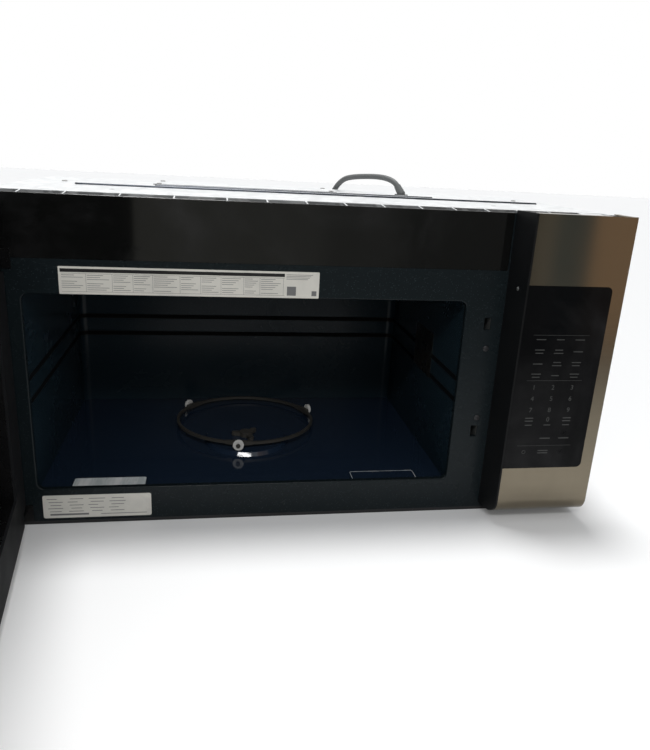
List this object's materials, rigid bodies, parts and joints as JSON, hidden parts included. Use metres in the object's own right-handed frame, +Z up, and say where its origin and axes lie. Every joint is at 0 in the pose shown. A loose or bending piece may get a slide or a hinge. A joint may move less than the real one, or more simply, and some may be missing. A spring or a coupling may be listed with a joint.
{
  "type": "over the range microwave",
  "caption": "Over the range microwave oven with a left-hinged door, touch control panel, hood blower, underside filters and lights, and a turntable drive in an enamelled cavity.",
  "frame": {"origin": "centre of the cabinet's underside, without door and control panel", "axes": "+Z up, +Y towards the wall behind, +X to the right as seen from the front; the door is stored open towards -Y"},
  "size_m": [0.7767, 1.1533, 0.4422],
  "materials": {
    "stainless": "warm brushed stainless",
    "zinc_sheet": "bright galvanised sheet",
    "enamel": "charcoal enamel with a fine speckle",
    "base_paint": "black paint",
    "gloss_black": "gloss black",
    "black_glass": "black glass",
    "window_glass": "tinted glass",
    "brown_moulding": "brown-grey moulding",
    "black_moulding": "black moulding",
    "ring_plastic": "brown-grey heat-proof plastic",
    "white_plastic": "white plastic",
    "lens": "frosted",
    "mesh": "layered mesh",
    "charcoal": "charcoal pad",
    "mica": "mica sheet",
    "board_green": "circuit board",
    "dark_steel": "varnished steel",
    "plain_aluminium": "plain",
    "pin_steel": "plated steel",
    "bulb_glass": "clear glass",
    "cord_rubber": "grey jacket"
  },
  "bodies": {
    "cabinet": {"cabinet_wrap": "zinc_sheet", "back_plate": "zinc_sheet", "base_plate": "base_paint", "cooktop_lenses": "lens", "cooktop_lamps": "board_green", "front_frame": "enamel", "vent_panel": "gloss_black", "outlet_grille": "zinc_sheet", "exhaust_plate": "zinc_sheet", "pan_screws": "pin_steel", "cavity_shell": "enamel", "cavity_floor": "enamel", "waveguide": "zinc_sheet", "waveguide_cover": "mica", "magnetron": "plain_aluminium", "turntable_motor": "pin_steel", "control_trim": "stainless", "control_glass": "black_glass", "control_housing": "black_moulding", "control_board": "board_green", "hinge_brackets": "dark_steel", "interlock_bracket": "white_plastic", "interlock_switches": "black_moulding", "hv_transformer": "dark_steel", "hv_capacitor": "plain_aluminium", "noise_filter": "board_green", "cavity_lamp_housing": "zinc_sheet", "cavity_lamp_bulb": "bulb_glass", "fan_shroud": "black_moulding", "fan_motor": "dark_steel", "blower_housing": "zinc_sheet", "blower_motor": "dark_steel", "charcoal_filter": "charcoal", "strain_relief": "cord_rubber", "power_cord": "cord_rubber", "cord_coil": "cord_rubber", "plug": "cord_rubber"},
    "door": {"door_skin": "stainless", "door_glass": "black_glass", "door_frame": "pin_steel", "hinge_bushes": "white_plastic", "door_screen": "dark_steel", "door_inner_cover": "brown_moulding", "door_window_pane": "window_glass", "door_handle": "stainless", "handle_posts": "stainless", "latch_spring": "pin_steel"},
    "latch": {"latch_hooks": "white_plastic"},
    "filter_left": {"grease_filter_left": "mesh"},
    "filter_right": {"grease_filter_right": "mesh"},
    "ring": {"roller_ring": "ring_plastic"},
    "wheel_front": {"ring_wheel_front": "white_plastic"},
    "wheel_right": {"ring_wheel_right": "white_plastic"},
    "wheel_left": {"ring_wheel_left": "white_plastic"},
    "coupler": {"turntable_coupler": "ring_plastic"},
    "blower": {"blower_rotor": "black_moulding"},
    "fan": {"cooling_fan": "black_moulding"},
    "plunger_lower": {"switch_plunger_lower": "white_plastic"},
    "plunger_middle": {"switch_plunger_middle": "white_plastic"},
    "plunger_upper": {"switch_plunger_upper": "white_plastic"}
  },
  "joints": [
    {"name": "door_hinge", "type": "hinge", "parent": "cabinet", "child": "door", "pos_m": [-0.368, -0.193, 0.2], "axis": [0, 0, 1], "range_deg": [-17, 83]},
    {"name": "latch_lift", "type": "slide", "parent": "door", "child": "latch", "axis": [0, 0, 1], "range_m": [0, 0.003], "stiffness_N_per_m": 300, "springref_m": -0.005, "deforming": ["latch_spring"]},
    {"name": "ring_spin", "type": "hinge", "parent": "cabinet", "child": "ring", "pos_m": [-0.07425, 0.0445, 0.0523], "axis": [0, 0, 1], "range_deg": [-15, 25]},
    {"name": "wheel_front_roll", "type": "hinge", "parent": "ring", "child": "wheel_front", "pos_m": [-0.08985, -0.07088, 0.0563], "axis": [-0.1339, -0.9904, 0.0343], "continuous": true},
    {"name": "wheel_right_roll", "type": "hinge", "parent": "ring", "child": "wheel_right", "pos_m": [0.03353, 0.08867, 0.0503], "axis": [0.9252, 0.3792, -0.0172], "continuous": true},
    {"name": "wheel_left_roll", "type": "hinge", "parent": "ring", "child": "wheel_left", "pos_m": [-0.16643, 0.11571, 0.0503], "axis": [-0.7913, 0.6112, -0.0172], "continuous": true},
    {"name": "coupler_spin", "type": "hinge", "parent": "cabinet", "child": "coupler", "pos_m": [-0.07575, -0.017, 0.05], "axis": [0, 0, 1], "continuous": true},
    {"name": "blower_spin", "type": "hinge", "parent": "cabinet", "child": "blower", "pos_m": [-0.07575, 0.089, 0.354], "axis": [1, 0, 0], "continuous": true},
    {"name": "fan_spin", "type": "hinge", "parent": "cabinet", "child": "fan", "pos_m": [0.2885, 0.128, 0.096], "axis": [0, 1, 0], "continuous": true},
    {"name": "filter_left_slip", "type": "slide", "parent": "cabinet", "child": "filter_left", "axis": [1, 0, 0], "range_m": [0, 0.008]},
    {"name": "filter_right_slip", "type": "slide", "parent": "cabinet", "child": "filter_right", "axis": [1, 0, 0], "range_m": [0, 0.008]},
    {"name": "plunger_lower_press", "type": "slide", "parent": "cabinet", "child": "plunger_lower", "axis": [0, 1, 0], "range_m": [0, 0.0012], "stiffness_N_per_m": 400, "springref_m": -0.001},
    {"name": "plunger_middle_press", "type": "slide", "parent": "cabinet", "child": "plunger_middle", "axis": [0, 1, 0], "range_m": [0, 0.0012], "stiffness_N_per_m": 400, "springref_m": -0.001},
    {"name": "plunger_upper_press", "type": "slide", "parent": "cabinet", "child": "plunger_upper", "axis": [0, 1, 0], "range_m": [0, 0.0012], "stiffness_N_per_m": 400, "springref_m": -0.001}
  ],
  "couplings": [
    {"joint": "wheel_front_roll", "follows": "ring_spin", "ratio": -14.562},
    {"joint": "wheel_right_roll", "follows": "ring_spin", "ratio": -14.562},
    {"joint": "wheel_left_roll", "follows": "ring_spin", "ratio": -14.562}
  ]
}
